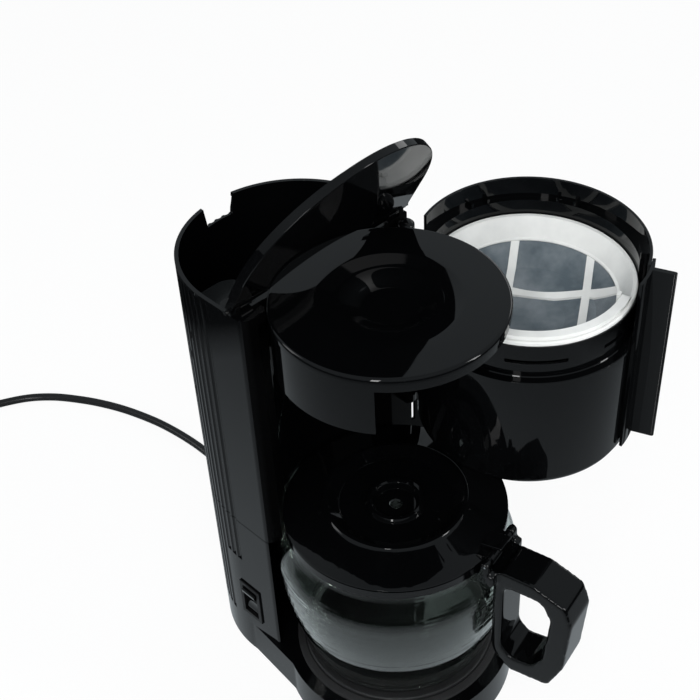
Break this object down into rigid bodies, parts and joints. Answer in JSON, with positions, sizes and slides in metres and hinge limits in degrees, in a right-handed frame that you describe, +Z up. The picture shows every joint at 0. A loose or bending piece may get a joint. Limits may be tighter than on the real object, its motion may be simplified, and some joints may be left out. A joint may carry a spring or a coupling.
{
  "type": "drip coffee maker",
  "caption": "Drip coffee maker with a fluted water tank, hinged tank lid, swing-out filter holder, permanent filter, and glass jug on a hot plate, with its mains cord.",
  "frame": {"origin": "on the table, under the common axis of the jug, hot plate and brew head", "axes": "+Z up; +X from the water tank towards the jug; -Y the side with the switch; +Y the side the filter holder swings out to; at rest the tank lid stands open, the filter holder is swung out and the jug stands on its plate with the lid shut"},
  "size_m": [0.6413, 0.3879, 0.3979],
  "materials": {
    "housing_black": "glossy",
    "holder_black": "satin",
    "inner_black": "matte",
    "jug_black": "glossy",
    "plate_black": "satin",
    "dark_rubber": "matte",
    "cord_black": "satin",
    "cast_aluminium": "satin",
    "bare_steel": "satin",
    "plated_brass": "polished",
    "ceramic": "satin",
    "fuse_yellow": "satin",
    "hose_silicone": "satin",
    "clear_white": "satin",
    "filter_white": "satin",
    "filter_mesh": "woven",
    "seal_red": "matte",
    "jug_clear": "clear"
  },
  "bodies": {
    "housing": {"base_housing": "housing_black", "base_cover": "inner_black", "base_screws": "bare_steel", "feet": "dark_rubber", "hot_plate": "plate_black", "plate_seal": "dark_rubber", "heater": "cast_aluminium", "heater_bracket": "bare_steel", "thermostat": "ceramic", "thermal_fuse": "fuse_yellow", "terminal_block": "ceramic", "switch_bezel": "inner_black", "switch_body": "inner_black", "tank_body": "housing_black", "tank_strainer": "clear_white", "check_valve": "clear_white", "tank_hose": "hose_silicone", "inlet_hose": "hose_silicone", "riser_hose": "hose_silicone", "hose_clamps": "bare_steel", "spray_arm": "inner_black", "spray_head": "inner_black", "head_housing": "housing_black", "head_cap": "housing_black", "swing_pin": "inner_black", "lid_pins": "bare_steel", "strain_relief": "cord_black", "power_cord": "cord_black", "cord_coil": "cord_black", "cord_tie": "inner_black", "plug_lead": "cord_black", "plug_body": "cord_black", "plug_pins": "plated_brass"},
    "tank_lid": {"tank_lid": "housing_black"},
    "filter_holder": {"filter_holder": "holder_black", "holder_grip": "holder_black", "drip_cage": "inner_black", "drip_spring": "bare_steel"},
    "drip_stop": {"drip_plunger": "clear_white", "drip_seal": "seal_red"},
    "filter": {"filter_frame": "filter_white", "filter_mesh": "filter_mesh"},
    "filter_handle": {"filter_handle": "filter_white"},
    "jug": {"jug_glass": "jug_clear", "jug_band": "jug_black", "jug_handle": "jug_black", "handle_screw": "bare_steel", "jug_hinge_pin": "bare_steel"},
    "jug_lid": {"jug_lid": "jug_black", "lid_lever": "jug_black"},
    "rocker": {"switch_rocker": "housing_black"}
  },
  "joints": [
    {"name": "tank_lid_hinge", "type": "hinge", "parent": "housing", "child": "tank_lid", "pos_m": [-0.0538, 0, 0.3132], "axis": [0, 1, 0], "range_deg": [-119, 0]},
    {"name": "holder_swing", "type": "hinge", "parent": "housing", "child": "filter_holder", "pos_m": [-0.0448, 0.059, 0.24], "axis": [0, 0, 1], "range_deg": [-87.5, 0]},
    {"name": "drip_stop_slide", "type": "slide", "parent": "filter_holder", "child": "drip_stop", "axis": [0, 0, 1], "range_m": [0, 0.004], "stiffness_N_per_m": 250, "springref_m": -0.003, "deforming": ["drip_spring"]},
    {"name": "filter_lift", "type": "slide", "parent": "filter_holder", "child": "filter", "axis": [0, 0, 1], "range_m": [0, 0.02]},
    {"name": "filter_handle_hinge", "type": "hinge", "parent": "filter", "child": "filter_handle", "pos_m": [0.0161, 0.10118, 0.2811], "axis": [0.9494, 0.314, 0], "range_deg": [-8, 0]},
    {"name": "jug_slide", "type": "slide", "parent": "housing", "child": "jug", "axis": [0.7071, -0.7071, 0], "range_m": [0, 0.44]},
    {"name": "jug_lid_hinge", "type": "hinge", "parent": "jug", "child": "jug_lid", "pos_m": [0.07043, 0.01497, 0.153], "axis": [-0.2079, 0.9781, 0], "range_deg": [0, 90]},
    {"name": "rocker_hinge", "type": "hinge", "parent": "housing", "child": "rocker", "pos_m": [-0.07, -0.0635, 0.058], "axis": [1, 0, 0], "range_deg": [-18, 0]}
  ],
  "couplings": [
    {"joint": "jug_lid_hinge", "follows": "jug_slide", "rad_per_m": 3.56}
  ]
}
